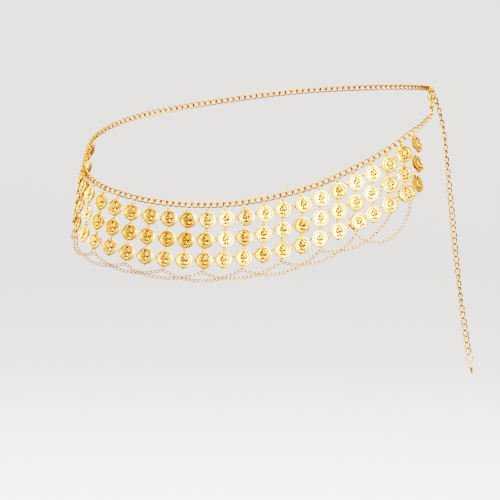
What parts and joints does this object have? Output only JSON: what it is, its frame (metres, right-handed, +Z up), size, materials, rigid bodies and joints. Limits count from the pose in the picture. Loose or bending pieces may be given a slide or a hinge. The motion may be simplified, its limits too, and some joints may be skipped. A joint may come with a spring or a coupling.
{
  "type": "belly dance coin hip belt",
  "caption": "Gold-toned curb chain belt in its worn shape, with a net of linked coins round the front, swags of fine chain, a lobster clasp and a hanging end.",
  "frame": {"origin": "on the axis of the hips that the belt is worn on, at the mean height of the waist chain, in the middle of the opening", "axes": "+Z up, -Y the wearer's front, +X the wearer's left, where the clasp is; the belt slants down from the clasp to the front"},
  "size_m": [0.3993, 0.2295, 0.2824],
  "materials": {
    "coin_plate": "stamped coins and four-eyed connectors, bright yellow gold plate, some coins mirror bright and some toned darker",
    "curb_chain": "flat curb chain of round wire, bright yellow gold plate, darker between the links",
    "fine_chain": "fine curb chain, bright yellow gold plate",
    "rings": "round wire jump rings, bright yellow gold plate",
    "clasp": "cast lobster clasp, polished and gold plated",
    "drop": "small cast spike, polished and gold plated"
  },
  "bodies": {
    "root": {"coin_column_01": "coin_plate", "coin_column_02": "coin_plate", "coin_column_03": "coin_plate", "coin_column_04": "coin_plate", "coin_column_05": "coin_plate", "coin_column_06": "coin_plate", "coin_column_07": "coin_plate", "coin_column_08": "coin_plate", "coin_column_09": "coin_plate", "coin_column_10": "coin_plate", "coin_column_11": "coin_plate", "coin_column_12": "coin_plate", "coin_column_13": "coin_plate", "coin_column_14": "coin_plate", "coin_column_15": "coin_plate", "coin_column_16": "coin_plate", "coin_column_17": "coin_plate", "coin_column_18": "coin_plate", "coin_column_19": "coin_plate", "coin_column_20": "coin_plate", "coin_column_21": "coin_plate", "coin_column_22": "coin_plate", "coin_column_23": "coin_plate", "coin_column_24": "coin_plate", "coin_column_25": "coin_plate", "swag_01": "fine_chain", "swag_02": "fine_chain", "swag_03": "fine_chain", "swag_04": "fine_chain", "swag_05": "fine_chain", "swag_06": "fine_chain", "swag_07": "fine_chain", "swag_08": "fine_chain", "swag_09": "fine_chain", "swag_10": "fine_chain", "swag_11": "fine_chain", "waist_chain_front_left": "curb_chain", "waist_chain_front_right": "curb_chain", "waist_chain_back_right": "curb_chain", "waist_chain_back_left": "curb_chain", "tail_chain": "curb_chain", "clasp_body": "clasp", "clasp_trigger": "clasp", "clasp_ring": "rings", "hooked_link": "curb_chain", "end_ring": "rings"},
    "drop": {"end_drop": "drop"}
  },
  "joints": [
    {"name": "drop_swing", "type": "hinge", "parent": "root", "child": "drop", "pos_m": [0.2012, -0.05805, -0.20288], "axis": [-0.9848, -0.0314, -0.1707], "range_deg": [-35, 80]}
  ]
}
